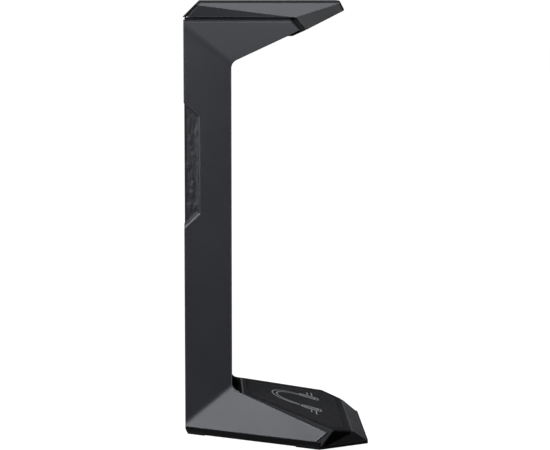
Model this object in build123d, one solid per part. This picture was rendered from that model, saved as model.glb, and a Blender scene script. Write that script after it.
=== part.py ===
from build123d import *
import os

os.makedirs("parts", exist_ok=True)

# A free-standing headphone stand: a flared foot, a tapering column and a forward arm that make a
# "C" in side view. Two skins cover the sides of one inner frame, a faceted cover wrapped by a
# rubber grip strip closes the arm, and a weighted base with a sloping deck carries a rubber mat.
#
# Frame: +Z up, the arm and the deck point towards -Y, X is sideways, and the origin is on the table
# under the middle of the outline. Points are given as (forward from the rear of the column,
# sideways from the symmetry plane, up from the table).

# ---- driving dimensions, millimetres ----
HEIGHT = 268.0                # table to the top of the headband grip
DEPTH = 111.4                 # rear of the column to the front edge of the base
BASE_HALF = 60.2              # half the width of the base at its shoulders

COLUMN_DEPTH = 29.1
COLUMN_REAR_HALF = 11.3
COLUMN_FRONT_HALF = 21.0
REACH = 150.0                 # longer and wider than any part, for cutting tools

BAND_TOP = 4.3                # lower edge of the side shells, and top of the tray
TRAY_LIFT = 0.4               # the tray hangs this far above the table, on its feet
FOOT_THICKNESS = 2.0
FOOT_REAR_END = 12.0
FOOT_FRONT_START = 67.0

FLARE_TOP_SLOPE = 0.344       # of the shells' upper edge, from the column to the flare's shoulder
FOOT_CREASE_REAR = 6.3        # height of the crease between column and foot flare, at the rear
FOOT_CREASE_FRONT = 32.2      # and at the column's front edge
ARM_CREASE_REAR = 251.6       # the same for the crease between column and arm
ARM_CREASE_FRONT = 229.5
FOOT_CREASE_RADIUS = 12.0
ARM_CREASE_RADIUS = 22.0

SHELL_WALL = 2.4
SHELL_TOP = 256.0
SHELL_GAP = 0.2               # between the shells and what they cover
FRONT_WALL = 3.6              # the column's front wall, with the recess for its cover
EDGE_RADIUS = 0.5
TOP_BEVEL = 0.45              # depth of the bevel on the shells' top and tip edges
TOP_BEVEL_LEAN = 2.0          # how much more it faces sideways than up
SEAT_DROP = 2.5               # the deck overlaps the flare's upper edge on a seat that slopes inwards

ARM_FRONT = 65.1              # front end of the shells' top edge
ARM_FRONT_HALF = 22.5
ARM_TIP = (70.4, 250.1)       # forward, up
TIP_CLEARANCE = 5.0           # the space inside the shells runs this far past the tip
UNDERSIDE_SLOPE = 0.47
ARM_INNER_RADIUS = 5.5
FOOT_INNER_RADIUS = 5.0

# Deck corners: forward, half width, up.
DECK_REAR = (33.3, 23.7, 28.6)
DECK_SHOULDER = (89.3, BASE_HALF, 12.2)
DECK_SLOPE = (DECK_REAR[2] - DECK_SHOULDER[2]) / (DECK_SHOULDER[0] - DECK_REAR[0])
# Ground corners: forward, half width.
GROUND_REAR = (0.0, COLUMN_REAR_HALF)
GROUND_SHOULDER = (80.8, 58.7)
GROUND_FRONT = (DEPTH, 42.3)
CHEEK_SLOPE = (GROUND_SHOULDER[1] - GROUND_FRONT[1]) / (GROUND_FRONT[0] - GROUND_SHOULDER[0])
BROW_FORWARD = 102.0
DECK_BROW = (BROW_FORWARD, GROUND_SHOULDER[1] - CHEEK_SLOPE * (BROW_FORWARD - GROUND_SHOULDER[0]),
             DECK_REAR[2] - DECK_SLOPE * (BROW_FORWARD - DECK_REAR[0]))
DECK_LIP = (110.7, 1.9)              # forward, up
FLARE_TIP = (77.9, 57.0, 4.46)       # lowest front corner of a side shell's flare
FLARE_SHOULDER = (85.0, 10.8)        # its highest front corner: forward, up
DECK_WALL = 2.6

# Top cover: forward, half width, up.
COVER_REAR = (-0.4, 11.1, 257.9)
COVER_CROWN = (10.3, 15.5, 265.0)
COVER_WING = (67.9, 23.3, 257.9)
COVER_BROW = (93.9, 15.5, 265.9)
COVER_NOSE = (98.1, 13.5, 262.0)
COVER_CHIN = (74.3, 250.2)           # forward, up
COVER_HEEL = (COVER_WING[0], COVER_REAR[2])
COVER_EDGE_RADIUS = 0.4
# The grip strip covers the top and runs down over the cover's rear slope and its nose.
GRIP_REAR = 9.8                      # rear and front ends of the strip's level top
GRIP_FRONT = 94.9
GRIP_THICKNESS = 1.4
GRIP_NOSE_THICKNESS = 0.9
GRIP_CORNER_RADIUS = 1.0
GRIP_EDGE_RADIUS = 0.5
COVER_WALL = 2.5
COVER_ROOM = 0.6                     # between the core's rail and the cover's hollow, end to end

INSERT_DEPTH = 9.0                   # how far the rear insert wraps onto the sides
INSERT_BOTTOM_REAR = 129.5
INSERT_BOTTOM_SIDE = 138.2
INSERT_TOP_SIDE = 197.4
INSERT_TOP_REAR = 205.9
INSERT_SLANT = 0.4                   # extra growth upwards, along its sloping ends
INSERT_SINK = 0.4                    # the insert lies this far below the shell's face
WINDOW_BEVEL = 0.9                   # width and depth of the shallow bevel round the insert's window
WINDOW_BEVEL_DEPTH = 0.35

COVER_STRIP_HALF = 15.0              # half the width of the column's front cover
COVER_STRIP_THICKNESS = 1.6

DECK_EDGE_RADIUS = 0.8
DECK_REAR_BEVEL = 2.0                # at the top of the deck's rear wall
BASE_CORNER_RADIUS = 1.5
HEEL_BEVEL = (1.6, 3.0)              # forward, up: at the base's lower rear edge

MAT_MARGIN = 1.0
MAT_THICKNESS = 1.0
MAT_RECESS = 0.9
FILM = 0.2                           # adhesive films

SPINE_THICKNESS = 3.0
SPINE_HALF = 8.0
SPINE_REAR = 12.0
SPINE_TOP = 253.0
SPINE_BOTTOM = 16.0
SPINE_FRONT = 56.0
SPINE_BEND = 6.0

RAIL_HALF = 8.0                      # the core's rail inside the top cover
RAIL_TOP = 262.0
RAIL_REAR = 10.0
RAIL_FRONT = 64.0
RAIL_ROOT = 1.0                      # how far it reaches down into the core

BALLAST_BOTTOM = BAND_TOP + 0.2
BALLAST_THICKNESS = 5.0

SHELL_SCREW_HEIGHTS = (62.0, 130.0, 198.0)
SHELL_SCREW_SIDE = 9.0
COVER_SCREW_PLACES = (40.0, 60.0)    # forward, on the symmetry plane
COLUMN_SCREW_PLACES = ((17.0, 7.0), (26.0, 12.5))   # forward, sideways, on both sides
BASE_SCREW_PLACES = ((43.0, 16.0), (62.0, 33.0))
BALLAST_SCREW_PLACES = (52.0, 74.0)  # forward, on the symmetry plane
COVER_SCREW_FACE = 253.8
BOSS_RADIUS = 4.0

CORE_TOP = 257.5
CORE_GAP = 0.3                       # between the core's tip and the cover's chin
CORE_CHIN = (66.0, 246.6)
CORE_CHIN_RADIUS = 2.0
FLANGE_INSET = 0.8                   # the core's flange fills the gap under the top cover
FLANGE_BOTTOM = SHELL_TOP + SHELL_GAP
LIP_END = 61.5                       # the shells' lips under the arm stop here
NOTCH_FLOOR = 18.0                   # the core shows here, between the column and the deck
NOTCH_FALL = 0.5
CORE_WEB_HALF = 9.5
POCKET_PITCH = 40
RIB = 4.0
STRIP_BOTTOM = 35.0
STRIP_TOP = 226.0
BALLAST_OUTLINE = ((36.5, 24.5), (80.0, 48.0))
FOOT_RING_HOLE = ((78.0, 40.0), (84.0, 44.0), (102.0, 34.0))

# Screws: head radius, head height, shank radius, whole length.
SHELL_SCREW = (2.6, 1.0, 1.25, 10.0)
COVER_SCREW = (2.8, 1.8, 1.5, 11.2)
COLUMN_SCREW = (3.6, 2.0, 2.0, 14.0)
BASE_SCREW = (2.8, 1.6, 1.5, 13.0)
BALLAST_SCREW = (3.2, 1.8, 1.5, 9.0)
SCREW_FACE = TRAY_LIFT + 0.3         # height of the tray screws' heads
WASHER_THICKNESS = 0.5
WASHER_RADIUS = 4.4
INSERT_RADIUS = 3.0
INSERT_LENGTH = 8.0
INSERT_BOTTOM = BAND_TOP + 0.4
UP = Vector(0, 0, 1)
REARWARD = Vector(0, 1, 0)


# ---- helpers ----
def at(forward, side, up):
    """A point in the row frame from its forward, sideways and up distances."""
    return Vector(side, (DEPTH + COVER_REAR[0]) / 2 - forward, up)


def side_outline(points):
    """A flat face on the symmetry plane, from (forward, up) points."""
    return make_face(Polyline(*[at(forward, 0, up) for forward, up in points], close=True))


def across(face, half_width=REACH):
    """The face on the symmetry plane, thickened sideways by half_width each way."""
    return extrude(face, amount=half_width, dir=(1, 0, 0), both=True)


def floor_outline(half_outline, up):
    """A flat level face from (forward, half width) points, the same on both sides."""
    right = [at(forward, half, up) for forward, half in half_outline]
    left = [at(forward, -half, up) for forward, half in reversed(half_outline)]
    return make_face(Polyline(*(right + left), close=True))


def slab(half_outline, bottom, top):
    return extrude(floor_outline(half_outline, bottom), amount=top - bottom, dir=(0, 0, 1))


def plane_through(first, second, third, inside):
    """The plane through three points, with its normal pointing away from the inside point."""
    normal = (second - first).cross(third - first).normalized()
    if normal.dot(inside - first) > 0:
        normal = normal * -1
    return Plane(origin=first, z_dir=normal)


def sunk(plane, depth):
    """The plane moved inwards, against its normal."""
    return Plane(origin=plane.origin - plane.z_dir * depth, z_dir=plane.z_dir)


def on_side(plane, forward, up):
    """The point of a side plane with this forward and up distance."""
    level = at(forward, 0, up)
    along = (plane.origin - level).dot(plane.z_dir) / plane.z_dir.X
    return level + Vector(along, 0, 0)


def below(solid, *planes):
    """What is left of the solid on the inner side of every plane."""
    for plane in planes:
        solid = split(solid, bisect_by=plane, keep=Keep.BOTTOM)
    return solid


def mirrored(solid):
    return mirror(solid, about=Plane.YZ)


def rod(start, end, radius):
    """A round bar from one point to another."""
    axis = end - start
    return extrude(Plane(origin=start, z_dir=axis) * Circle(radius), amount=axis.length)


def save(node, shape):
    """Write one node, named after its file."""
    shape.label = node
    export_step(shape, f"parts/{node}.step")


CENTRE = at(COLUMN_DEPTH / 2, 0, HEIGHT / 2)
DECK_CENTRE = at(60.0, 0, 5.0)
COVER_CENTRE = at(50.0, 0, 262.0)

# ---- the planes of one side, at +X ----
column_side = plane_through(
    at(0, COLUMN_REAR_HALF, 0), at(0, COLUMN_REAR_HALF, HEIGHT),
    at(COLUMN_DEPTH, COLUMN_FRONT_HALF, 0), CENTRE)
arm_side = plane_through(
    at(0, COLUMN_REAR_HALF, ARM_CREASE_REAR), at(COLUMN_DEPTH, COLUMN_FRONT_HALF, ARM_CREASE_FRONT),
    at(ARM_FRONT, ARM_FRONT_HALF, SHELL_TOP), CENTRE)
flare_side = plane_through(
    at(0, COLUMN_REAR_HALF, FOOT_CREASE_REAR), at(COLUMN_DEPTH, COLUMN_FRONT_HALF, FOOT_CREASE_FRONT),
    at(*FLARE_TIP), DECK_CENTRE)
deck_top = plane_through(at(*DECK_REAR), at(*DECK_SHOULDER), at(DECK_SHOULDER[0], 0, DECK_SHOULDER[2]),
                         DECK_CENTRE)
deck_side = plane_through(at(*DECK_REAR), at(*DECK_SHOULDER), at(*GROUND_SHOULDER, 0), DECK_CENTRE)
deck_front = plane_through(at(*DECK_BROW), at(DECK_LIP[0], 0, DECK_LIP[1]),
                           at(DECK_LIP[0], 1, DECK_LIP[1]), DECK_CENTRE)
deck_cheek = plane_through(at(*GROUND_SHOULDER, 0), at(*GROUND_FRONT, 0), at(*GROUND_FRONT, 10),
                           DECK_CENTRE)
deck_corner = plane_through(at(*DECK_SHOULDER), at(*DECK_BROW), at(*GROUND_SHOULDER, 0), DECK_CENTRE)
heel = plane_through(at(0, 0, HEEL_BEVEL[1]), at(0, 1, HEEL_BEVEL[1]), at(HEEL_BEVEL[0], 0, 0),
                     DECK_CENTRE)
middle = Plane(origin=(0, 0, 0), z_dir=(-1, 0, 0))


def side_envelope(outline, sink, crease_radii=None):
    """Half of a "C" with the given side view, inside the three side planes sunk by a wall.

    The arm plane cuts the column plane to a ridge, and the flare stands out from the column
    in a valley. With radii, both creases are rounded.
    """
    half = below(across(outline), middle)
    upper = below(half, sunk(column_side, sink), sunk(arm_side, sink))
    flare = below(half, sunk(flare_side, sink))
    body = (upper + flare).clean()
    if crease_radii:
        ridge_point = at(COLUMN_DEPTH / 2, (COLUMN_REAR_HALF + COLUMN_FRONT_HALF) / 2,
                         (ARM_CREASE_REAR + ARM_CREASE_FRONT) / 2)
        valley_point = at(COLUMN_DEPTH / 2, (COLUMN_REAR_HALF + COLUMN_FRONT_HALF) / 2,
                          (FOOT_CREASE_REAR + FOOT_CREASE_FRONT) / 2)
        for point, radius in zip((ridge_point, valley_point), crease_radii):
            crease = body.edges().sort_by_distance(point)[0]
            body = fillet(crease, radius)
    return body


def underside(forward):
    """Height of the arm's underside."""
    return ARM_TIP[1] - UNDERSIDE_SLOPE * (ARM_TIP[0] - forward)


def shell_outline():
    """The side view of a shell: arm, column and the flare of the foot."""
    rear_deck = FLARE_SHOULDER[1] + (FLARE_SHOULDER[0] - COLUMN_DEPTH) * FLARE_TOP_SLOPE
    face = side_outline([
        (0, BAND_TOP), (0, SHELL_TOP), (ARM_FRONT, SHELL_TOP), ARM_TIP,
        (COLUMN_DEPTH, underside(COLUMN_DEPTH)), (COLUMN_DEPTH, rear_deck),
        FLARE_SHOULDER, (FLARE_TIP[0], BAND_TOP)])
    arm_corner = face.vertices().sort_by_distance(at(COLUMN_DEPTH, 0, underside(COLUMN_DEPTH)))[0]
    face = fillet(arm_corner, ARM_INNER_RADIUS)
    foot_corner = face.vertices().sort_by_distance(at(COLUMN_DEPTH, 0, rear_deck))[0]
    return fillet(foot_corner, FOOT_INNER_RADIUS)


def inner_outline():
    """The side view of the space inside the shells, open at the top, the tip, the deck and the bottom."""
    front = COLUMN_DEPTH - FRONT_WALL
    rise = SHELL_WALL * (1 + UNDERSIDE_SLOPE ** 2) ** 0.5
    foot_top = DECK_REAR[2] + FOOT_INNER_RADIUS
    past_tip = ARM_TIP[0] + TIP_CLEARANCE
    return side_outline([
        (SHELL_WALL, 0), (SHELL_WALL, HEIGHT), (past_tip, HEIGHT), (past_tip, underside(past_tip) + rise),
        (front, underside(front) + rise), (front, foot_top), (REACH, foot_top), (REACH, 0)])


def insert_points(grow):
    """The side view of the rear insert as (forward, up) points, grown all round."""
    slant = grow * INSERT_SLANT
    return [(-INSERT_DEPTH, INSERT_BOTTOM_REAR - grow - slant), (0, INSERT_BOTTOM_REAR - grow - slant),
            (INSERT_DEPTH + grow, INSERT_BOTTOM_SIDE - slant),
            (INSERT_DEPTH + grow, INSERT_TOP_SIDE + slant),
            (0, INSERT_TOP_REAR + grow + slant), (-INSERT_DEPTH, INSERT_TOP_REAR + grow + slant)]


def make_window_bevel():
    """The wedge that bevels the window's edges on the +X side."""
    sections = []
    for plane, grow in ((column_side, WINDOW_BEVEL), (sunk(column_side, WINDOW_BEVEL_DEPTH), 0)):
        corners = [on_side(plane, forward, up) for forward, up in insert_points(grow)]
        sections.append(make_face(Polyline(*corners, close=True)))
    return loft(sections)


def box_between(low, high):
    """A box from its (forward, sideways, up) corners."""
    centre = at((low[0] + high[0]) / 2, (low[1] + high[1]) / 2, (low[2] + high[2]) / 2)
    size = [abs(b - a) for a, b in zip(low, high)]
    return Pos(*centre) * Box(size[1], size[0], size[2])


# ---- screws and inserts ----
def pan_screw(head_end, direction, head_radius, head_height, shank_radius, length):
    """A pan-head screw: head_end is the middle of the head's flat outer face."""
    shoulder = head_end + direction * head_height
    head = rod(head_end, shoulder, head_radius)
    rim = head.edges().filter_by(GeomType.CIRCLE).sort_by_distance(head_end)[0]
    head = fillet(rim, head_height * 0.4)
    socket = rod(head_end, head_end + direction * head_height * 0.6, head_radius * 0.4)
    return head + rod(shoulder, head_end + direction * length, shank_radius) - socket


def screw_space(head_end, direction, head_radius, head_height, shank_radius, length):
    """The room that a screw takes: a plain head bore and a plain shank bore."""
    shoulder = head_end + direction * head_height
    return rod(head_end, shoulder, head_radius) + rod(shoulder, head_end + direction * length, shank_radius)


def on_both_sides(places):
    return [(forward, sign * side) for forward, side in places for sign in (1, -1)]


# ---- sub-parts ----
def rim_edges(half):
    """The edges where the side faces of half a shell meet the faces that run straight across it.

    The flare's edges stay sharp, where they meet the deck and the tray, and so do the top and
    the tip, which have a bevel.
    """
    rim = ShapeList()
    for face in half.faces():
        if abs(face.normal_at(face.center()).X) < 1e-6:
            rim += [edge for edge in face.edges()
                    if edge.center().X > 1 and abs(edge.tangent_at(0.5).X) < 0.99 and edge not in rim]
    flare_start = at(COLUMN_DEPTH, 0, 0).Y
    return [edge for edge in rim if edge.center().Z < ARM_TIP[1]
            and (edge.center().Z > FOOT_CREASE_FRONT or edge.center().Y > flare_start)]


def top_bevels():
    """The planes that bevel a shell's top edge and the edge of its angled tip."""
    rise = ARM_TIP[0] - ARM_FRONT, SHELL_TOP - ARM_TIP[1]
    tip_normal = Vector(0, -rise[1], rise[0]).normalized()
    corner = at(ARM_FRONT, ARM_FRONT_HALF, SHELL_TOP)
    planes = []
    for edge_normal in (UP, tip_normal):
        normal = (arm_side.z_dir * TOP_BEVEL_LEAN + edge_normal).normalized()
        planes.append(Plane(origin=corner - normal * TOP_BEVEL, z_dir=normal))
    return planes


def make_deck_seat():
    """The space over the flare's upper edge that the deck fills, on the +X side."""
    rear = on_side(flare_side, DECK_REAR[0], DECK_REAR[2])
    inner = rear - Vector(SHELL_WALL, 0, SEAT_DROP)
    seat = plane_through(rear, on_side(flare_side, *FLARE_SHOULDER), inner, at(*FLARE_TIP))
    room = box_between((DECK_REAR[0], 0, 0), (REACH, REACH, DECK_REAR[2] + SHELL_WALL))
    return split(room, bisect_by=seat, keep=Keep.TOP)


def make_right_shell():
    """The skin of the +X side, with the window for the insert and the seat for the front cover."""
    outer = side_envelope(shell_outline(), 0, (ARM_CREASE_RADIUS, FOOT_CREASE_RADIUS))
    outer = below(fillet(rim_edges(outer), EDGE_RADIUS), *top_bevels())
    shell = outer - side_envelope(inner_outline(), SHELL_WALL)
    shell = shell - across(side_outline(insert_points(0))) - make_window_bevel()
    shell = shell - box_between((COLUMN_DEPTH - COVER_STRIP_THICKNESS, -COVER_STRIP_HALF, STRIP_BOTTOM),
                                (REACH, COVER_STRIP_HALF, STRIP_TOP))
    tip_room = box_between((LIP_END, 0, ARM_CREASE_FRONT), (REACH, REACH, HEIGHT))
    shell = shell - below(tip_room, sunk(column_side, SHELL_WALL), sunk(arm_side, SHELL_WALL))
    shell = shell - make_deck_seat() - deck_layer(MAT_MARGIN, -MAT_RECESS, MAT_MARGIN * 10)
    return below(shell, Plane(origin=(SHELL_GAP / 2, 0, 0), z_dir=(-1, 0, 0)))


def make_insert():
    """The relief strip in the rear window: a "U" that wraps onto both sides of the column."""
    outline = across(side_outline(insert_points(-SHELL_GAP)))
    rear = Plane(origin=at(INSERT_SINK, 0, 0), z_dir=(0, 1, 0))
    inner_rear = Plane(origin=at(SHELL_WALL, 0, 0), z_dir=(0, 1, 0))
    half = below(outline, middle, rear, sunk(column_side, INSERT_SINK))
    hollow = below(outline, middle, inner_rear, sunk(column_side, SHELL_WALL))
    half = half - hollow
    return half + mirrored(half)


def make_front_cover():
    """The strip that closes the front of the column, over the shell screws."""
    strip = box_between(
        (COLUMN_DEPTH - COVER_STRIP_THICKNESS, SHELL_GAP - COVER_STRIP_HALF, STRIP_BOTTOM + SHELL_GAP),
        (COLUMN_DEPTH, COVER_STRIP_HALF - SHELL_GAP, STRIP_TOP - SHELL_GAP))
    front_edges = strip.faces().sort_by(Axis.Y)[0].edges()
    return chamfer(front_edges, EDGE_RADIUS)


def core_outline():
    """The side view of the inner frame: foot, column and arm, with the chin at the arm's tip."""
    rear = SHELL_WALL + SHELL_GAP
    front = COLUMN_DEPTH - FRONT_WALL - SHELL_GAP
    rise = (SHELL_WALL + SHELL_GAP) * (1 + UNDERSIDE_SLOPE ** 2) ** 0.5
    chin_rear = LIP_END + SHELL_GAP
    foot_front = DECK_REAR[0] - SHELL_GAP
    foot_top = DECK_REAR[2] + FOOT_INNER_RADIUS - SHELL_GAP
    chin_lean = (COVER_CHIN[0] - COVER_HEEL[0]) / (COVER_HEEL[1] - COVER_CHIN[1])
    tip = COVER_CHIN[0] - CORE_GAP
    face = side_outline([
        (rear, BAND_TOP + SHELL_GAP), (rear, CORE_TOP),
        (tip - chin_lean * (CORE_TOP - COVER_CHIN[1]), CORE_TOP), (tip, COVER_CHIN[1]),
        CORE_CHIN, (chin_rear, CORE_CHIN[1]), (chin_rear, underside(chin_rear) + rise),
        (front, underside(front) + rise), (front, foot_top), (COLUMN_DEPTH - SHELL_GAP, foot_top),
        (COLUMN_DEPTH, NOTCH_FLOOR), (foot_front, NOTCH_FLOOR - NOTCH_FALL), (foot_front, BAND_TOP + SHELL_GAP)])
    chin = face.vertices().sort_by_distance(at(CORE_CHIN[0], 0, CORE_CHIN[1]))[0]
    return fillet(chin, CORE_CHIN_RADIUS)


def make_flange():
    """The core's rim under the top cover, which closes the gap between the cover and the shells."""
    outline = side_outline([(FLANGE_INSET, FLANGE_BOTTOM), (FLANGE_INSET, CORE_TOP),
                            (ARM_FRONT, CORE_TOP), (ARM_FRONT, FLANGE_BOTTOM)])
    half = below(across(outline), middle, sunk(column_side, FLANGE_INSET), sunk(arm_side, FLANGE_INSET))
    return half + mirrored(half)


def make_spine():
    """The bent steel bar up the column and out along the arm."""
    face = side_outline([
        (SPINE_REAR, SPINE_BOTTOM), (SPINE_REAR, SPINE_TOP), (SPINE_FRONT, SPINE_TOP),
        (SPINE_FRONT, SPINE_TOP - SPINE_THICKNESS),
        (SPINE_REAR + SPINE_THICKNESS, SPINE_TOP - SPINE_THICKNESS),
        (SPINE_REAR + SPINE_THICKNESS, SPINE_BOTTOM)])
    bend = face.vertices().sort_by_distance(at(SPINE_REAR, 0, SPINE_TOP))[0]
    bar = across(fillet(bend, SPINE_BEND), SPINE_HALF)
    for forward in COVER_SCREW_PLACES:
        bar = bar - rod(at(forward, 0, 0), at(forward, 0, HEIGHT), COVER_SCREW[0] + SHELL_GAP)
    return bar


def core_pockets():
    """The ribbed hollows in the core's sides, open under the shells."""
    pockets = []
    for bottom in range(26, 226, POCKET_PITCH):
        for side in (1, -1):
            pockets.append(box_between((6.0, side * CORE_WEB_HALF, bottom),
                                       (21.5, side * REACH, bottom + POCKET_PITCH - RIB)))
    return pockets


def make_core(spine):
    """The inner frame that carries the shells, the top cover and the foot."""
    half = side_envelope(core_outline(), SHELL_WALL + SHELL_GAP)
    core = half + mirrored(half) + make_flange()
    core = core + box_between((RAIL_REAR, -RAIL_HALF, CORE_TOP - RAIL_ROOT), (RAIL_FRONT, RAIL_HALF, RAIL_TOP))
    core = core - spine
    for pocket in core_pockets():
        core = core - pocket
    for forward in COVER_SCREW_PLACES:
        core = core - screw_space(at(forward, 0, COVER_SCREW_FACE), UP, *COVER_SCREW)
        core = core - rod(at(forward, 0, ARM_CREASE_FRONT), at(forward, 0, COVER_SCREW_FACE),
                          COVER_SCREW[0] + SHELL_GAP)
    for forward, side in on_both_sides(COLUMN_SCREW_PLACES):
        core = core - rod(at(forward, side, 0), at(forward, side, INSERT_BOTTOM + INSERT_LENGTH),
                          INSERT_RADIUS)
        core = core - rod(at(forward, side, 0), at(forward, side, SPINE_BOTTOM), COLUMN_SCREW[2])
    return core


def cover_body(sink=0.0):
    """The faceted wedge over the arm, out to the faces of its grip strip."""
    outline = side_outline([
        (COVER_REAR[0], COVER_REAR[2]), (GRIP_REAR, HEIGHT), (GRIP_FRONT, HEIGHT),
        (COVER_NOSE[0], COVER_NOSE[2]), COVER_CHIN, COVER_HEEL])
    for forward, up in ((GRIP_REAR, HEIGHT), (GRIP_FRONT, HEIGHT), (COVER_NOSE[0], COVER_NOSE[2])):
        corner = outline.vertices().sort_by_distance(at(forward, 0, up))[0]
        outline = fillet(corner, GRIP_CORNER_RADIUS)
    rear_facet = plane_through(at(*COVER_REAR), at(*COVER_CROWN), at(*COVER_WING), COVER_CENTRE)
    top_facet = plane_through(at(*COVER_CROWN), at(*COVER_WING), at(*COVER_BROW), COVER_CENTRE)
    nose_facet = plane_through(at(*COVER_WING), at(*COVER_BROW), at(*COVER_NOSE), COVER_CENTRE)
    facets = [sunk(facet, sink) for facet in (rear_facet, top_facet, nose_facet)]
    half = below(across(outline), middle, *facets)
    return half + mirrored(half)


def under_grip(body, film):
    """What is left of the cover's body under the grip strip and a film of this thickness."""
    rear = plane_through(at(COVER_REAR[0], 0, COVER_REAR[2]), at(GRIP_REAR, 0, HEIGHT),
                         at(GRIP_REAR, 1, HEIGHT), COVER_CENTRE)
    nose = plane_through(at(GRIP_FRONT, 0, HEIGHT), at(COVER_NOSE[0], 0, COVER_NOSE[2]),
                         at(GRIP_FRONT, 1, HEIGHT), COVER_CENTRE)
    return below(body, sunk(rear, GRIP_THICKNESS + film), sunk(nose, GRIP_NOSE_THICKNESS + film),
                 Plane(origin=(0, 0, HEIGHT - GRIP_THICKNESS - film)))


def make_cover():
    """The faceted top cover, hollow over the core's rail, with a boss for each screw."""
    cover = under_grip(cover_body(), FILM).clean()
    cover = fillet(cover.edges(), COVER_EDGE_RADIUS)
    ceiling = HEIGHT - GRIP_THICKNESS - FILM - COVER_WALL
    room = box_between((RAIL_REAR - COVER_ROOM, -REACH, 0), (RAIL_FRONT + COVER_ROOM, REACH, ceiling))
    cover = cover - (cover_body(COVER_WALL) & room)
    for forward in COVER_SCREW_PLACES:
        cover = cover + rod(at(forward, 0, RAIL_TOP), at(forward, 0, ceiling), BOSS_RADIUS)
        cover = cover - screw_space(at(forward, 0, COVER_SCREW_FACE), UP, *COVER_SCREW)
    return cover


def make_grip():
    """The rubber strip over the cover's top, its rear slope and its nose, with soft outer edges."""
    body = cover_body()
    covered = under_grip(body, 0)
    edges = [edge for edge in body.edges()
             if abs(edge.center().X) > 1 and covered.distance_to(Vertex(*edge.center())) > FILM]
    return fillet(edges, GRIP_EDGE_RADIUS) - covered


def make_grip_film():
    """The adhesive film between the strip and the cover."""
    body = under_grip(cover_body(), 0)
    return body - under_grip(body, FILM)


def deck_body(sink, side_sink, bottom):
    """The base's upper body: sloping deck, bevelled front and cut corners."""
    outline = side_outline([
        (DECK_REAR[0] + sink, bottom), (DECK_REAR[0] + sink, HEIGHT), (REACH, HEIGHT),
        (REACH, FOOT_THICKNESS), (GROUND_SHOULDER[0], FOOT_THICKNESS), (GROUND_SHOULDER[0], bottom)])
    half = below(across(outline), middle, sunk(deck_top, sink), sunk(deck_front, sink),
                 sunk(deck_side, side_sink))
    half = below(half, sunk(deck_cheek, sink)) + below(half, sunk(deck_corner, sink))
    return (half + mirrored(half)).clean()


def deck_polygon(margin):
    """The outline of the deck's top in front of its rear bevel, smaller all round by a margin."""
    share = DECK_REAR_BEVEL / (DECK_SHOULDER[0] - DECK_REAR[0])
    behind_mat = [rear + share * (shoulder - rear) for rear, shoulder in zip(DECK_REAR, DECK_SHOULDER)]
    corners = [behind_mat, DECK_SHOULDER, DECK_BROW]
    right = [at(*corner) for corner in corners]
    left = [at(forward, -half, up) for forward, half, up in reversed(corners)]
    return offset(make_face(Polyline(*(right + left), close=True)), -margin, kind=Kind.INTERSECTION)


def deck_layer(margin, bottom, top):
    """A flat layer on the deck's slope, between two heights measured square to it."""
    layer = extrude(deck_polygon(margin), amount=top - bottom, dir=deck_top.z_dir)
    return Pos(*(deck_top.z_dir * bottom)) * layer


def deck_cavity():
    return deck_body(DECK_WALL, DECK_WALL + SHELL_WALL, 0)


def nearest_edges(body, forward, side, up):
    """The body's edge nearest to a point on its +X side, and its twin on the other side."""
    return [body.edges().sort_by_distance(at(forward, sign * side, up))[0] for sign in (1, -1)]


def make_deck(shells):
    deck = deck_body(0, 0, BAND_TOP)
    rear_edge = deck.edges().sort_by_distance(at(DECK_REAR[0], 0, DECK_REAR[2]))[0]
    deck = chamfer(rear_edge, DECK_REAR_BEVEL)
    front_edges = [edge for edge in deck.edges()
                   if edge.center().Y < at(*GROUND_SHOULDER, 0).Y and edge.center().Z > BAND_TOP]
    deck = fillet(front_edges, DECK_EDGE_RADIUS)
    cavity = deck_cavity()
    posts = [rod(at(forward, side, BAND_TOP), at(forward, side, HEIGHT), BOSS_RADIUS)
             for forward, side in on_both_sides(BASE_SCREW_PLACES)]
    posts += [rod(at(forward, 0, BALLAST_BOTTOM + BALLAST_THICKNESS), at(forward, 0, HEIGHT), BOSS_RADIUS)
              for forward in BALLAST_SCREW_PLACES]
    for post in posts:
        cavity = cavity - post
    deck = deck - cavity
    for shell in shells:
        deck = deck - shell
    deck = deck - deck_layer(MAT_MARGIN, -MAT_RECESS, REACH)
    for forward, side in on_both_sides(BASE_SCREW_PLACES):
        deck = deck - screw_space(at(forward, side, SCREW_FACE), UP, *BASE_SCREW)
    for forward in BALLAST_SCREW_PLACES:
        deck = deck - screw_space(at(forward, 0, BALLAST_BOTTOM), UP, *BALLAST_SCREW)
    return deck


def make_ballast():
    """The steel plate inside the base, with clearance for the deck's posts."""
    plate = slab(BALLAST_OUTLINE, BALLAST_BOTTOM, BALLAST_BOTTOM + BALLAST_THICKNESS)
    for forward, side in on_both_sides(BASE_SCREW_PLACES):
        plate = plate - rod(at(forward, side, 0), at(forward, side, HEIGHT), BOSS_RADIUS + 0.5)
    for forward in BALLAST_SCREW_PLACES:
        plate = plate - screw_space(at(forward, 0, BALLAST_BOTTOM), UP, *BALLAST_SCREW)
    return plate


def flank_half(forward):
    """Half the width of the base's outline on the table, behind its shoulders."""
    share = forward / GROUND_SHOULDER[0]
    return GROUND_REAR[1] + share * (GROUND_SHOULDER[1] - GROUND_REAR[1])


def base_slab(half_outline, bottom, top):
    """A slab of the base, with the outer corners at its rear and front rounded."""
    plate = slab(half_outline, bottom, top)
    for corner in (GROUND_REAR, GROUND_FRONT):
        if corner in half_outline:
            plate = fillet(nearest_edges(plate, *corner, (bottom + top) / 2), BASE_CORNER_RADIUS)
    return plate


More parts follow.
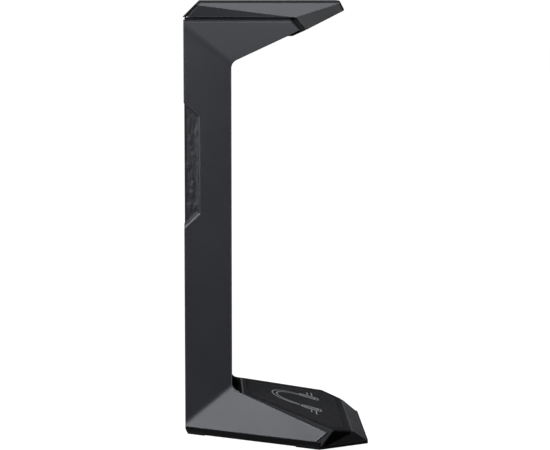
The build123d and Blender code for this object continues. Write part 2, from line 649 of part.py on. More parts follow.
def make_feet():
    """The rubber feet, flush with the base's outline: a strip at the rear and a ring in front."""
    rear = base_slab([GROUND_REAR, (FOOT_REAR_END, flank_half(FOOT_REAR_END))], 0, FOOT_THICKNESS)
    rear = below(rear, heel)
    front = base_slab([(FOOT_FRONT_START, flank_half(FOOT_FRONT_START)), GROUND_SHOULDER, GROUND_FRONT],
                      0, FOOT_THICKNESS)
    front = front - slab(FOOT_RING_HOLE, -1, FOOT_THICKNESS + 1)
    return rear, front


def make_tray(feet):
    """The bottom plate, counterbored for its screws."""
    tray = base_slab([GROUND_REAR, GROUND_SHOULDER, GROUND_FRONT], TRAY_LIFT, BAND_TOP)
    tray = below(tray, deck_front, heel) - (deck_body(0, 0, BAND_TOP) - deck_cavity())
    for foot in feet:
        tray = tray - foot
    for forward, side in on_both_sides(COLUMN_SCREW_PLACES):
        bore_top = SCREW_FACE + COLUMN_SCREW[1] + WASHER_THICKNESS
        tray = tray - rod(at(forward, side, 0), at(forward, side, bore_top), WASHER_RADIUS)
        tray = tray - rod(at(forward, side, 0), at(forward, side, BAND_TOP + 1), COLUMN_SCREW[2])
    for forward, side in on_both_sides(BASE_SCREW_PLACES):
        tray = tray - rod(at(forward, side, 0), at(forward, side, SCREW_FACE), BASE_SCREW[0])
        tray = tray - screw_space(at(forward, side, SCREW_FACE), UP, *BASE_SCREW)
    return tray


def make_screws(places, face, size):
    """Upright screws with their heads down, at (forward, sideways) places."""
    return [pan_screw(at(forward, side, face), UP, *size) for forward, side in places]


def make_washers():
    washers = []
    for forward, side in on_both_sides(COLUMN_SCREW_PLACES):
        seat = SCREW_FACE + COLUMN_SCREW[1]
        disc = rod(at(forward, side, seat), at(forward, side, seat + WASHER_THICKNESS), WASHER_RADIUS)
        washers.append(disc - rod(at(forward, side, 0), at(forward, side, HEIGHT), COLUMN_SCREW[2]))
    return washers


def make_threaded_inserts():
    sleeves = []
    for forward, side in on_both_sides(COLUMN_SCREW_PLACES):
        sleeve = rod(at(forward, side, INSERT_BOTTOM), at(forward, side, INSERT_BOTTOM + INSERT_LENGTH),
                     INSERT_RADIUS)
        sleeves.append(sleeve - rod(at(forward, side, 0), at(forward, side, HEIGHT), COLUMN_SCREW[2]))
    return sleeves


def shell_screw_faces():
    """Where the shell screws' heads lie, on the seat under the front cover."""
    return [at(COLUMN_DEPTH - COVER_STRIP_THICKNESS, sign * SHELL_SCREW_SIDE, height)
            for height in SHELL_SCREW_HEIGHTS for sign in (1, -1)]


# ---- build ----
spine = make_spine()
core = make_core(spine)
right_shell = make_right_shell()
left_shell = mirrored(right_shell)
for face in shell_screw_faces():
    space = screw_space(face, REARWARD, *SHELL_SCREW)
    right_shell = right_shell - space
    left_shell = left_shell - space
    core = core - space

deck = make_deck([right_shell, left_shell])
feet = make_feet()

save("side_shell_right", right_shell)
save("side_shell_left", left_shell)
save("core_frame", core)
save("steel_spine", spine)
save("spine_insert", make_insert())
save("column_front_cover", make_front_cover())
save("top_cover", make_cover())
save("headband_grip", make_grip())
save("grip_adhesive", make_grip_film())
save("base_deck", deck)
save("base_mat", deck_layer(MAT_MARGIN + SHELL_GAP, FILM - MAT_RECESS, FILM - MAT_RECESS + MAT_THICKNESS))
save("mat_adhesive", deck_layer(MAT_MARGIN + 1.0, -MAT_RECESS, FILM - MAT_RECESS))
save("ballast_plate", make_ballast())
save("base_tray", make_tray(feet))
save("foot_rear", feet[0])
save("foot_front", feet[1])

screw_groups = {
    "shell_screws": [pan_screw(face, REARWARD, *SHELL_SCREW) for face in shell_screw_faces()],
    "cover_screws": make_screws([(forward, 0) for forward in COVER_SCREW_PLACES],
                                COVER_SCREW_FACE, COVER_SCREW),
    "column_screws": make_screws(on_both_sides(COLUMN_SCREW_PLACES), SCREW_FACE, COLUMN_SCREW),
    "base_screws": make_screws(on_both_sides(BASE_SCREW_PLACES), SCREW_FACE, BASE_SCREW),
    "ballast_screws": make_screws([(forward, 0) for forward in BALLAST_SCREW_PLACES],
                                  BALLAST_BOTTOM, BALLAST_SCREW),
    "column_washers": make_washers(),
    "threaded_inserts": make_threaded_inserts(),
}
for node, pieces in screw_groups.items():
    save(node, Compound(children=pieces))
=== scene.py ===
import math

import bmesh
import bpy
from mathutils import Matrix, Vector, noise


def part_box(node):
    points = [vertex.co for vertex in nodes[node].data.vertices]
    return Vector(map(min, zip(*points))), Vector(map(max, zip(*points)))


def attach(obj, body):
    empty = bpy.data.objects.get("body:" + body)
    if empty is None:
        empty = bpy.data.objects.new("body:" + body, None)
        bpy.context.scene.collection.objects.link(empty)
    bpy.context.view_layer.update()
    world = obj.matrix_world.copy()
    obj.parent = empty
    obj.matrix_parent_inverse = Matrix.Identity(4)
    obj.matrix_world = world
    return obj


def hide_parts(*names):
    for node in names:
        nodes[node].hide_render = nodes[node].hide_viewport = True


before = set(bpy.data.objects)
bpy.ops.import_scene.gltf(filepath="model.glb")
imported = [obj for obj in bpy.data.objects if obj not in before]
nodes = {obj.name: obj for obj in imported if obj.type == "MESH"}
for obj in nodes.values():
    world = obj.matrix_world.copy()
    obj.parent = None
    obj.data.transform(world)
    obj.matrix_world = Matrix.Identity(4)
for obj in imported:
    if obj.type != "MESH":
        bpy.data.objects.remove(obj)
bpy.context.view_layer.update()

# The headphone stand stands on the floor at the origin, with its arm and its deck towards -Y.
MM = 0.001

# ---- places, worked out from the CAD frame ----
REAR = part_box("side_shell_left")[1].y      # rear face of the column


def at(forward, side, up):
    """A point from millimetres forward of the column's rear, sideways, and up."""
    return Vector((side * MM, REAR - forward * MM, up * MM))


# ---- materials ----
# Sizes of the patterns, in millimetres.
TINT_GRAIN = 35.0          # slow changes of colour on plastic
GLOSS_GRAIN = 25.0         # and of its gloss
EDGE_BREAK_GRAIN = 1.6           # breaks in the pale edge line, which is partly wear and partly a painted highlight
# width of the pale edges, which are partly wear and partly a painted highlight
EDGE_WEAR_AND_HIGHLIGHT_WIDTH = 0.5
DUST_GRAIN = 14.0
SCUFF_GRAIN = 3.0
BRUSH_GRAIN = 0.6
TARNISH_GRAIN = 12.0
WRINKLE_GRAIN = 4.0

PLASTIC_TINT = 0.06        # how far the colour of plastic strays, as a share of itself
PLASTIC_GLOSS = 0.02       # how far its roughness strays
RUBBER_GLOSS = 0.06        # the same for rubber
RUBBER_SPECULAR = 0.12
RUBBER_SHEEN = 0.04
DUST_LIFT = 1.5            # dust on rubber, lighter than the rubber by this factor
DUST_MOST = 0.5            # and never thicker than this share
METAL_GLOSS = (0.08, 0.1)  # how far the roughness of metal strays down and up
TARNISH_DROP = 0.72        # tarnish on metal, darker by this factor
TARNISH_MOST = 0.6
RIB_DEPTH = 0.03           # of the woven rubber's ribs
RIB_STRENGTH = 0.6
RIB_TURNS = (45, -45)      # degrees
WRINKLE_DEPTH = 0.05
FILM_GLOSS = 0.1
FILM_SPECULAR = 0.2
BEVEL_SAMPLES = 4
EDGE_BREAK_RANGE = (0.25, 0.5)   # the noise values between which a pale edge, partly wear and partly painted highlight, fades in
EDGE_COSINES = (0.96, 0.999)       # between a face and its rounded edge: pale below (wear and painted highlight), clean above


def new_material(name, colour, roughness, metallic=0.0, specular=0.5):
    """A material with a Principled shader, returned with its node tree and shader."""
    material = bpy.data.materials.new(name)
    material.use_nodes = True
    tree = material.node_tree
    shader = tree.nodes["Principled BSDF"]
    shader.inputs["Base Color"].default_value = (*colour, 1.0)
    shader.inputs["Roughness"].default_value = roughness
    shader.inputs["Metallic"].default_value = metallic
    shader.inputs["Specular IOR Level"].default_value = specular
    return material, tree, shader


def add_node(tree, kind, **settings):
    """A shader node with the given properties."""
    node = tree.nodes.new(kind)
    for name, value in settings.items():
        setattr(node, name, value)
    return node


def noise_node(tree, grain, detail=2.0, stretch=(1, 1, 1)):
    """Noise in the row frame, its grain in millimetres; stretch squeezes it along an axis."""
    place = add_node(tree, "ShaderNodeTexCoord")
    mapping = add_node(tree, "ShaderNodeMapping")
    mapping.inputs["Scale"].default_value = stretch
    pattern = add_node(tree, "ShaderNodeTexNoise")
    pattern.inputs["Scale"].default_value = 1 / (grain * MM)
    pattern.inputs["Detail"].default_value = detail
    tree.links.new(place.outputs["Object"], mapping.inputs["Vector"])
    tree.links.new(mapping.outputs["Vector"], pattern.inputs["Vector"])
    return pattern.outputs["Fac"]


def spread(tree, value, low, high, source=(0.3, 0.7)):
    """The value, mapped from its source range to low..high."""
    mapped = add_node(tree, "ShaderNodeMapRange")
    mapped.inputs["From Min"].default_value = source[0]
    mapped.inputs["From Max"].default_value = source[1]
    mapped.inputs["To Min"].default_value = low
    mapped.inputs["To Max"].default_value = high
    tree.links.new(value, mapped.inputs["Value"])
    return mapped.outputs["Result"]


def blend_colours(tree, factor, first, second):
    """A colour between two others; each is a tuple or another node's colour."""
    mix = add_node(tree, "ShaderNodeMix", data_type="RGBA")
    colour_inputs = [socket for socket in mix.inputs if socket.type == "RGBA"]
    for socket, colour in zip(colour_inputs, (first, second)):
        if isinstance(colour, tuple):
            socket.default_value = (*colour, 1.0)
        else:
            tree.links.new(colour, socket)
    tree.links.new(factor, mix.inputs["Factor"])
    return [socket for socket in mix.outputs if socket.type == "RGBA"][0]


def add_bump(tree, shader, height, distance, strength=1.0, after=None):
    """Bump from a height pattern, its full depth in millimetres."""
    bump = add_node(tree, "ShaderNodeBump")
    bump.inputs["Strength"].default_value = strength
    bump.inputs["Distance"].default_value = distance * MM
    tree.links.new(height, bump.inputs["Height"])
    if after is not None:
        tree.links.new(after, bump.inputs["Normal"])
    tree.links.new(bump.outputs["Normal"], shader.inputs["Normal"])
    return bump.outputs["Normal"]


def edge_mask(tree, width):
    """1 along the edges of the shape, within a width in millimetres, and 0 on its faces."""
    rounded = add_node(tree, "ShaderNodeBevel", samples=BEVEL_SAMPLES)
    rounded.inputs["Radius"].default_value = width * MM
    face = add_node(tree, "ShaderNodeNewGeometry")
    product = add_node(tree, "ShaderNodeVectorMath", operation="DOT_PRODUCT")
    tree.links.new(rounded.outputs["Normal"], product.inputs[0])
    tree.links.new(face.outputs["Normal"], product.inputs[1])
    return spread(tree, product.outputs["Value"], 1.0, 0.0, source=EDGE_COSINES)


def scaled(colour, factor):
    """The colour, each channel times a factor."""
    return tuple(channel * factor for channel in colour)


def moulded(name, colour, roughness, grain=0.35, depth=0.012, specular=0.5, wear=None):
    """Moulded or painted plastic: a fine grain, uneven gloss, a faint tint, and pale edges, partly wear
    and partly a painted highlight.
    """
    material, tree, shader = new_material(name, colour, roughness, specular=specular)
    cloud = spread(tree, noise_node(tree, TINT_GRAIN, detail=4.0), 0.0, 1.0)
    shade = blend_colours(tree, cloud, scaled(colour, 1 - PLASTIC_TINT), scaled(colour, 1 + PLASTIC_TINT))
    # Pale edges: partly wear, partly a painted highlight along the rounded edges.
    if wear:
        edge_breaks = spread(tree, noise_node(tree, EDGE_BREAK_GRAIN, detail=3.0), 0.0, 1.0, source=EDGE_BREAK_RANGE)
        mask = add_node(tree, "ShaderNodeMath", operation="MULTIPLY")
        tree.links.new(edge_mask(tree, EDGE_WEAR_AND_HIGHLIGHT_WIDTH), mask.inputs[0])
        tree.links.new(edge_breaks, mask.inputs[1])
        shade = blend_colours(tree, mask.outputs["Value"], shade, wear)
    tree.links.new(shade, shader.inputs["Base Color"])
    smudge = noise_node(tree, GLOSS_GRAIN, detail=3.0)
    gloss = spread(tree, smudge, roughness - PLASTIC_GLOSS, roughness + PLASTIC_GLOSS)
    tree.links.new(gloss, shader.inputs["Roughness"])
    add_bump(tree, shader, noise_node(tree, grain, detail=1.0), depth)
    return material


def rubber(name, colour, roughness, grain=0.5, depth=0.04, weave=None):
    """Matt rubber with a stippled or woven face and pale dust in it."""
    material, tree, shader = new_material(name, colour, roughness, specular=RUBBER_SPECULAR)
    shader.inputs["Sheen Weight"].default_value = RUBBER_SHEEN
    dust = spread(tree, noise_node(tree, DUST_GRAIN, detail=5.0), 0.0, DUST_MOST)
    shade = blend_colours(tree, dust, colour, scaled(colour, DUST_LIFT))
    tree.links.new(shade, shader.inputs["Base Color"])
    scuffs = noise_node(tree, SCUFF_GRAIN, detail=4.0)
    gloss = spread(tree, scuffs, roughness - RUBBER_GLOSS, roughness + RUBBER_GLOSS)
    tree.links.new(gloss, shader.inputs["Roughness"])
    stipple = add_bump(tree, shader, noise_node(tree, grain), depth)
    if weave:
        place = add_node(tree, "ShaderNodeTexCoord")
        for turn in RIB_TURNS:
            mapping = add_node(tree, "ShaderNodeMapping")
            mapping.inputs["Rotation"].default_value = (0, 0, math.radians(turn))
            ribs = add_node(tree, "ShaderNodeTexWave", bands_direction="X")
            ribs.inputs["Scale"].default_value = 1 / (weave * MM * math.pi)
            tree.links.new(place.outputs["Object"], mapping.inputs["Vector"])
            tree.links.new(mapping.outputs["Vector"], ribs.inputs["Vector"])
            stipple = add_bump(tree, shader, ribs.outputs["Fac"], RIB_DEPTH, RIB_STRENGTH, after=stipple)
    return material


def metal(name, colour, roughness, brush=(1, 1, 1), depth=0.006):
    """Machined or plated metal with fine marks; brush squeezes the marks along an axis."""
    material, tree, shader = new_material(name, colour, roughness, metallic=1.0)
    marks = noise_node(tree, BRUSH_GRAIN, detail=4.0, stretch=brush)
    gloss = spread(tree, marks, roughness - METAL_GLOSS[0], roughness + METAL_GLOSS[1])
    tree.links.new(gloss, shader.inputs["Roughness"])
    tarnish = spread(tree, noise_node(tree, TARNISH_GRAIN, detail=5.0), 0.0, TARNISH_MOST)
    shade = blend_colours(tree, tarnish, colour, scaled(colour, TARNISH_DROP))
    tree.links.new(shade, shader.inputs["Base Color"])
    add_bump(tree, shader, marks, depth)
    return material


def film(name, dark, light, roughness):
    """Black double-sided adhesive film, slightly wrinkled."""
    material, tree, shader = new_material(name, dark, roughness, specular=FILM_SPECULAR)
    wrinkle = noise_node(tree, WRINKLE_GRAIN, detail=3.0)
    tree.links.new(blend_colours(tree, wrinkle, dark, light), shader.inputs["Base Color"])
    gloss = spread(tree, wrinkle, roughness - FILM_GLOSS, roughness + FILM_GLOSS)
    tree.links.new(gloss, shader.inputs["Roughness"])
    add_bump(tree, shader, wrinkle, WRINKLE_DEPTH)
    return material


CHARCOAL = (0.040, 0.041, 0.045)
BLACK = (0.006, 0.0061, 0.0065)
EDGE_WEAR_AND_HIGHLIGHT = (0.30, 0.30, 0.31)          # paint and plastic along an edge: partly wear, partly a painted bright highlight
# the same, fainter, along the deck's edges: partly wear, partly a painted highlight
FAINT_EDGE_WEAR_AND_HIGHLIGHT = (0.10, 0.10, 0.105)

PLASTICS = {
    # name: (colour, roughness, the rest)
    "shell_paint": (CHARCOAL, 0.30, {"grain": 0.3, "depth": 0.006, "wear": EDGE_WEAR_AND_HIGHLIGHT}),
    "cover_paint": (CHARCOAL, 0.30, {"grain": 0.3, "depth": 0.006, "wear": EDGE_WEAR_AND_HIGHLIGHT}),
    "frame_plastic": (BLACK, 0.55, {"grain": 0.5, "depth": 0.02, "specular": 0.3}),
    "relief_plastic": ((0.026, 0.028, 0.030), 0.42, {"grain": 0.4, "depth": 0.015}),
    "strip_plastic": ((0.022, 0.0225, 0.024), 0.45, {"grain": 0.4, "depth": 0.015, "wear": EDGE_WEAR_AND_HIGHLIGHT}),
    "deck_plastic": (BLACK, 0.36, {"grain": 0.45, "depth": 0.008, "specular": 0.15, "wear": FAINT_EDGE_WEAR_AND_HIGHLIGHT}),
    "tray_plastic": ((0.005, 0.0051, 0.0054), 0.5, {"grain": 0.5, "depth": 0.02, "specular": 0.15}),
    "mat_print": ((0.6, 0.6, 0.61), 0.4, {"grain": 0.3, "depth": 0.01}),
}
RUBBERS = {
    "grip_rubber": ((0.020, 0.0205, 0.0215), 0.55, {"grain": 0.45, "depth": 0.03}),
    "mat_rubber": ((0.011, 0.0112, 0.0118), 0.62, {"grain": 0.4, "depth": 0.02, "weave": 0.7}),
    "foot_rubber": ((0.012, 0.012, 0.0125), 0.7, {"grain": 0.6, "depth": 0.05}),
}
METALS = {
    "spine_steel": ((0.42, 0.42, 0.43), 0.38, {"brush": (1, 1, 0.05)}),
    "ballast_steel": ((0.36, 0.36, 0.35), 0.45, {"brush": (0.06, 1, 1)}),
    "screw_steel": ((0.14, 0.14, 0.15), 0.35, {}),
    "washer_steel": ((0.5, 0.5, 0.51), 0.32, {}),
    "insert_brass": ((0.62, 0.45, 0.2), 0.34, {}),
}
materials = {"adhesive_film": film("adhesive_film", (0.012, 0.012, 0.012), (0.03, 0.03, 0.031), 0.5)}
for make, family in ((moulded, PLASTICS), (rubber, RUBBERS), (metal, METALS)):
    for name, (colour, roughness, rest) in family.items():
        materials[name] = make(name, colour, roughness, **rest)

NODE_MATERIALS = {
    "side_shell_left": "shell_paint", "side_shell_right": "shell_paint", "core_frame": "frame_plastic",
    "steel_spine": "spine_steel", "spine_insert": "relief_plastic", "column_front_cover": "strip_plastic",
    "top_cover": "cover_paint", "headband_grip": "grip_rubber", "grip_adhesive": "adhesive_film",
    "base_deck": "deck_plastic", "base_mat": "mat_rubber", "mat_adhesive": "adhesive_film",
    "ballast_plate": "ballast_steel", "base_tray": "tray_plastic", "foot_rear": "foot_rubber",
    "foot_front": "foot_rubber", "shell_screws": "screw_steel", "cover_screws": "screw_steel",
    "column_screws": "screw_steel", "base_screws": "screw_steel", "ballast_screws": "screw_steel",
    "column_washers": "washer_steel", "threaded_inserts": "insert_brass",
}
for name, node in nodes.items():
    node.data.materials.clear()
    node.data.materials.append(materials[NODE_MATERIALS[name]])


# ---- pieces ----
def add_piece(name, mesh, slot, *replaced):
    """A finished mesh as a piece of the stand, in the row frame, in place of the replaced nodes."""
    mesh.materials.clear()
    mesh.materials.append(materials[slot])
    piece = bpy.data.objects.new(name, mesh)
    bpy.context.scene.collection.objects.link(piece)
    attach(piece, "root")
    if replaced:
        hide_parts(*replaced)


SAME_POINT = 0.001         # points nearer than this, in millimetres, are one
FLAT_ANGLE = math.radians(0.5)
SHARP_ANGLE = math.radians(35)


def node_shape(name):
    """A CAD node's shape as a fresh bmesh, with whole flat faces."""
    shape = bmesh.new()
    shape.from_mesh(nodes[name].data)
    bmesh.ops.remove_doubles(shape, verts=shape.verts, dist=SAME_POINT * MM)
    bmesh.ops.dissolve_limit(shape, angle_limit=FLAT_ANGLE, verts=shape.verts, edges=shape.edges)
    return shape


def finished_mesh(shape, name):
    """The bmesh as a mesh, shaded smooth except at its edges."""
    mesh = bpy.data.meshes.new(name)
    shape.normal_update()
    for face in shape.faces:
        face.smooth = True
    for edge in shape.edges:
        if len(edge.link_faces) == 2:
            edge.smooth = edge.calc_face_angle() < SHARP_ANGLE
    shape.to_mesh(mesh)
    shape.free()
    return mesh


def inset_step(shape, face, width, rise):
    """The face drawn in by a width, and raised by a height, in millimetres."""
    bmesh.ops.inset_region(shape, faces=[face], thickness=width * MM, depth=rise * MM,
                           use_even_offset=True, use_boundary=True)


MAT_RIM = 1.9              # the flat rim round the mat
MAT_GROOVE = 0.7
MAT_GROOVE_DEPTH = 0.45
MAT_GROOVES = 2
MAT_RIDGE = 0.9            # between the grooves
MAT_EDGE = 0.25


def make_mat():
    """The mat, with a softened edge and two grooves inside its rim.

    Returns the normal and the middle of its face.
    """
    shape = node_shape("base_mat")
    top = max(shape.faces, key=lambda face: face.calc_area() * (face.normal.z > 0.5))
    normal, centre = top.normal.copy(), top.calc_center_median()
    inset_step(shape, top, SAME_POINT, -MAT_EDGE)
    inset_step(shape, top, MAT_EDGE, MAT_EDGE)
    inset_step(shape, top, MAT_RIM, 0.0)
    for _ in range(MAT_GROOVES):
        inset_step(shape, top, MAT_GROOVE / 2, -MAT_GROOVE_DEPTH)
        inset_step(shape, top, MAT_GROOVE / 2, MAT_GROOVE_DEPTH)
        inset_step(shape, top, MAT_RIDGE, 0.0)
    add_piece("ribbed_mat", finished_mesh(shape, "ribbed_mat"), "mat_rubber", "base_mat")
    return normal, centre


mat_normal, mat_centre = make_mat()

EMBLEM_FORWARD = 71.0      # the emblem's middle, forward of the column's rear
EMBLEM_SIDE = 5.0
LINE_RADIUS = 0.36         # half the width of its lines
LINE_FLATNESS = 0.3        # their height over their width
BANDS = ((17.0, -12, 192, 48), (14.0, -2, 182, 44))        # radius, its ends in degrees, steps
CORNER_STEPS = 6
CUP_CENTRE = (17.0, -8.0)
CUP_SIZE = (7.0, 12.5)
CUP_ROUNDING = 2.4
INNER_CUP = (0.45, 0.7, 0.5)           # the cup's inner outline, as shares of size and rounding
WHISKERS = ((22.5, 32.5, -10.5), (22.5, 29.5, -7.5))       # inner end, outer end, height


def arc(centre, radius, start, end, steps):
    """Points along an arc, with its angles in degrees."""
    turns = [math.radians(start + (end - start) * step / steps) for step in range(steps + 1)]
    return [(centre[0] + radius * math.cos(turn), centre[1] + radius * math.sin(turn)) for turn in turns]


def rounded_box(centre, width, height, rounding):
    """The closed outline of a box with rounded corners."""
    points = []
    for corner, (across, up) in enumerate(((1, 1), (-1, 1), (-1, -1), (1, -1))):
        middle = (centre[0] + across * (width / 2 - rounding), centre[1] + up * (height / 2 - rounding))
        points += arc(middle, rounding, 90 * corner, 90 * corner + 90, CORNER_STEPS)
    return points + points[:1]


def make_emblem():
    """A plain pictogram of headphones in thin raised lines on the mat."""
    strokes = [arc((0, 0), *band) for band in BANDS]
    inner_cup = [share * whole for share, whole in zip(INNER_CUP, (*CUP_SIZE, CUP_ROUNDING))]
    for side in (1, -1):
        centre = (side * CUP_CENTRE[0], CUP_CENTRE[1])
        strokes.append(rounded_box(centre, *CUP_SIZE, CUP_ROUNDING))
        strokes.append(rounded_box(centre, *inner_cup))
        strokes += [[(side * inner, up), (side * outer, up)] for inner, outer, up in WHISKERS]
    lines = bpy.data.curves.new("emblem_lines", "CURVE")
    lines.dimensions = "3D"
    lines.bevel_depth = LINE_RADIUS * MM
    lines.bevel_resolution = 2
    lines.use_fill_caps = True
    for stroke in strokes:
        spline = lines.splines.new("POLY")
        spline.points.add(len(stroke) - 1)
        for point, (across, up) in zip(spline.points, stroke):
            point.co = (across * MM, up * MM, 0, 1)
    drawing = bpy.data.objects.new("emblem_lines", lines)
    bpy.context.scene.collection.objects.link(drawing)
    bpy.context.view_layer.update()
    mesh = bpy.data.meshes.new_from_object(drawing.evaluated_get(bpy.context.evaluated_depsgraph_get()))
    bpy.data.objects.remove(drawing)
    place = at(EMBLEM_FORWARD, EMBLEM_SIDE, 0)
    place.z = mat_centre.z - mat_normal.y * (place.y - mat_centre.y) / mat_normal.z
    up_slope = mat_normal.cross(Vector((1, 0, 0)))
    axes = Matrix((Vector((1, 0, 0)), up_slope, mat_normal * LINE_FLATNESS)).transposed().to_4x4()
    mesh.transform(Matrix.Translation(place) @ axes)
    add_piece("emblem", mesh, "mat_print")


make_emblem()

RELIEF_DEPTH = 0.3
RELIEF_CELL = 4.2          # size of the relief's facets
RELIEF_STEP = 0.8          # spacing of the points that carry it
RELIEF_BORDER = 1.1        # the plain border round each face
FADE_START = 0.4           # the relief starts this far across the border
FADE_LENGTH = 0.6          # and reaches its depth after this much more of it
CELL_STRETCH = 0.6         # a facet's width over its height
VALLEY_WIDTH = 0.35        # in cells
TILT_SCALE = 1.7           # the facets' heights change on a finer grid
FACET_RISE = (0.55, 0.45)  # how far a facet rises from the valleys: the least, and what is added to it
SMALLEST_FACE = 36.0       # square millimetres; smaller faces stay plain
FACING = 0.9               # how much of an axis a face's normal has when it faces that way
TURNED_BACK = 0.1          # the same for the side faces, which turn a little towards the rear
SKIN = 0.5                 # the rear face lies within this of the insert's rear end
ON_FACE = 0.01             # a point this near a face's plane lies on it


def cut_grid(shape, low, high, step):
    """Cut the shape along evenly spaced planes across each axis."""
    for axis in range(3):
        normal = Vector([float(index == axis) for index in range(3)])
        count = round((high[axis] - low[axis]) / step)
        for index in range(1, count):
            origin = low.copy()
            origin[axis] += (high[axis] - low[axis]) * index / count
            bmesh.ops.bisect_plane(shape, geom=shape.verts[:] + shape.edges[:] + shape.faces[:],
                                   plane_co=origin, plane_no=normal)


def relief(point):
    """How deep the relief is at a point: flat-topped facets with sloping valleys between them."""
    stretched = Vector((point.x, point.y, point.z * CELL_STRETCH)) / (RELIEF_CELL * MM)
    distances, _ = noise.voronoi(stretched)
    ridge = min((distances[1] - distances[0]) / VALLEY_WIDTH, 1.0)
    tilt = noise.cell(stretched * TILT_SCALE)
    return RELIEF_DEPTH * MM * (1.0 - ridge * (FACET_RISE[0] + FACET_RISE[1] * tilt))


def distance_to_line(point, start, end):
    """How far a point is from the line between two others."""
    along = end - start
    share = max(0.0, min(1.0, (point - start).dot(along) / along.length_squared))
    return (point - start - along * share).length


def make_relief():
    """The rear insert, its outer faces cut into a low relief inside a plain border."""
    shape = node_shape("spine_insert")
    low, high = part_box("spine_insert")
    outer = [face for face in shape.faces if face.calc_area() > SMALLEST_FACE * MM ** 2
             and (face.normal.y > FACING and face.calc_center_median().y > high.y - SKIN * MM
                  or abs(face.normal.x) > FACING and face.normal.y > TURNED_BACK)]
    borders = [[tuple(vert.co.copy() for vert in edge.verts) for edge in face.edges] for face in outer]
    planes = [(face.calc_center_median(), face.normal.copy()) for face in outer]
    cut_grid(shape, low, high, RELIEF_STEP * MM)
    bmesh.ops.triangulate(shape, faces=shape.faces[:])
    moves = {}
    for (centre, normal), border in zip(planes, borders):
        for vert in shape.verts:
            if abs((vert.co - centre).dot(normal)) > ON_FACE * MM:
                continue
            away = min(distance_to_line(vert.co, *line) for line in border)
            past_start = max(away / (RELIEF_BORDER * MM) - FADE_START, 0.0)
            fade = min(past_start, FADE_LENGTH) / FADE_LENGTH
            if fade > 0:
                moves[vert] = normal * (-relief(vert.co) * fade)
    for vert, move in moves.items():
        vert.co += move
    add_piece("relief_insert", finished_mesh(shape, "relief_insert"), "relief_plastic", "spine_insert")


make_relief()


# ---- stage ----
FLOOR_REACH = 90.0
FLOOR_GREY = (0.12, 0.12, 0.12)
FLOOR_ROUGHNESS = 0.9
FLOOR_GLOW = 1.02              # enough to show the floor plain white


def make_floor():
    """A plain pale floor that neither lights the stand nor shades it from the lights below."""
    mesh = bpy.data.meshes.new("floor")
    corners = [(-FLOOR_REACH, -FLOOR_REACH, 0), (FLOOR_REACH, -FLOOR_REACH, 0),
               (FLOOR_REACH, FLOOR_REACH, 0), (-FLOOR_REACH, FLOOR_REACH, 0)]
    mesh.from_pydata(corners, [], [(0, 1, 2, 3)])
    floor = bpy.data.objects.new("floor", mesh)
    bpy.context.scene.collection.objects.link(floor)
    material, _, shader = new_material("floor_paint", FLOOR_GREY, FLOOR_ROUGHNESS, specular=0.0)
    shader.inputs["Emission Color"].default_value = (1, 1, 1, 1)
    shader.inputs["Emission Strength"].default_value = FLOOR_GLOW
    mesh.materials.append(material)
    floor.visible_diffuse = False
    floor.visible_glossy = False
    floor.visible_shadow = False


def area_light(name, azimuth, elevation, distance, width, height, power):
    """A soft light aimed at the stand; azimuth in degrees from -X, turning towards the rear."""
    turn, rise = math.radians(azimuth), math.radians(elevation)
    away = Vector((-math.cos(rise) * math.cos(turn), math.cos(rise) * math.sin(turn), math.sin(rise)))
    light = bpy.data.lights.new(name, "AREA")
    light.shape = "RECTANGLE"
    light.size, light.size_y = width, height
    light.energy = power
    light.color = COOL_WHITE
    lamp = bpy.data.objects.new(name, light)
    lamp.location = LIT_POINT + away * distance
    lamp.rotation_euler = (-away).to_track_quat("-Z", "Y").to_euler()
    bpy.context.scene.collection.objects.link(lamp)


LIT_POINT = Vector((0, 0, 0.13))
COOL_WHITE = (0.93, 0.945, 1.0)
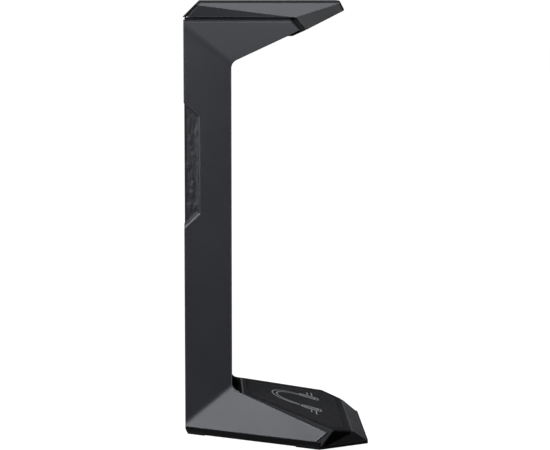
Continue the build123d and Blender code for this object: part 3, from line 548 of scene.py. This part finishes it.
# Name: azimuth, elevation, distance, width, height, watts. The low ones lie below the floor.
LIGHTS = {
    "overhead": (0, 90, 1.67, 1.4, 1.4, 16.3),
    "rear": (60, 10, 1.7, 0.9, 0.6, 8.8),
    "rear_high": (60, 28, 0.8, 0.4, 0.4, 0.9),
    "near": (20, 35, 1.7, 0.9, 0.6, 5.2),
    "low_front": (-45, -14, 1.7, 0.8, 0.5, 2.6),
    "low_near": (10, -38, 1.7, 0.8, 0.5, 1.4),
    "far": (186, 5, 2.2, 1.2, 0.5, 1.2),
    "far_rear": (140, 2, 1.7, 0.9, 0.6, 6.0),
}
# A very dim sky: brightness at heights from 0, straight down, to 1, straight up.
SKY = ((0.35, 0.0), (0.5, 0.01), (0.75, 0.01))

make_floor()
for name, setting in LIGHTS.items():
    area_light(name, *setting)


def make_world():
    """A plain studio sky, its brightness given below, at and above the horizon."""
    world = bpy.data.worlds.new("studio")
    bpy.context.scene.world = world
    world.use_nodes = True
    tree = world.node_tree
    place = add_node(tree, "ShaderNodeTexCoord")
    split = add_node(tree, "ShaderNodeSeparateXYZ")
    ramp = add_node(tree, "ShaderNodeValToRGB")
    tree.links.new(place.outputs["Generated"], split.inputs["Vector"])
    height = spread(tree, split.outputs["Z"], 0.0, 1.0, source=(-1.0, 1.0))
    tree.links.new(height, ramp.inputs["Fac"])
    stops = ramp.color_ramp.elements
    stops.new(0.5)
    for stop, (position, brightness) in zip(stops, SKY):
        stop.position = position
        stop.color = (brightness, brightness, brightness, 1.0)
    tree.links.new(ramp.outputs["Color"], tree.nodes["Background"].inputs["Color"])


make_world()
bpy.context.scene.view_settings.view_transform = "Standard"

# ---- camera ----
CAMERA_DISTANCE = 1.240                    # from the plane of symmetry, on the -X side
CAMERA_FORWARD = 9.3                       # millimetres forward of the column's rear
CAMERA_HEIGHT = 280.0
CAMERA_YAW = math.radians(2.17)            # towards the front of the stand
CAMERA_PITCH = math.radians(6.932)         # downwards
LENS = 131.66
SENSOR = 36.0

camera_data = bpy.data.cameras.new("camera")
camera_data.lens = LENS
camera_data.sensor_width = SENSOR
camera = bpy.data.objects.new("camera", camera_data)
bpy.context.scene.collection.objects.link(camera)
camera.location = at(CAMERA_FORWARD, -CAMERA_DISTANCE / MM, CAMERA_HEIGHT)
looking = Vector((math.cos(CAMERA_YAW) * math.cos(CAMERA_PITCH),
                  -math.sin(CAMERA_YAW) * math.cos(CAMERA_PITCH), -math.sin(CAMERA_PITCH)))
camera.rotation_euler = looking.to_track_quat("-Z", "Y").to_euler()
bpy.context.scene.camera = camera
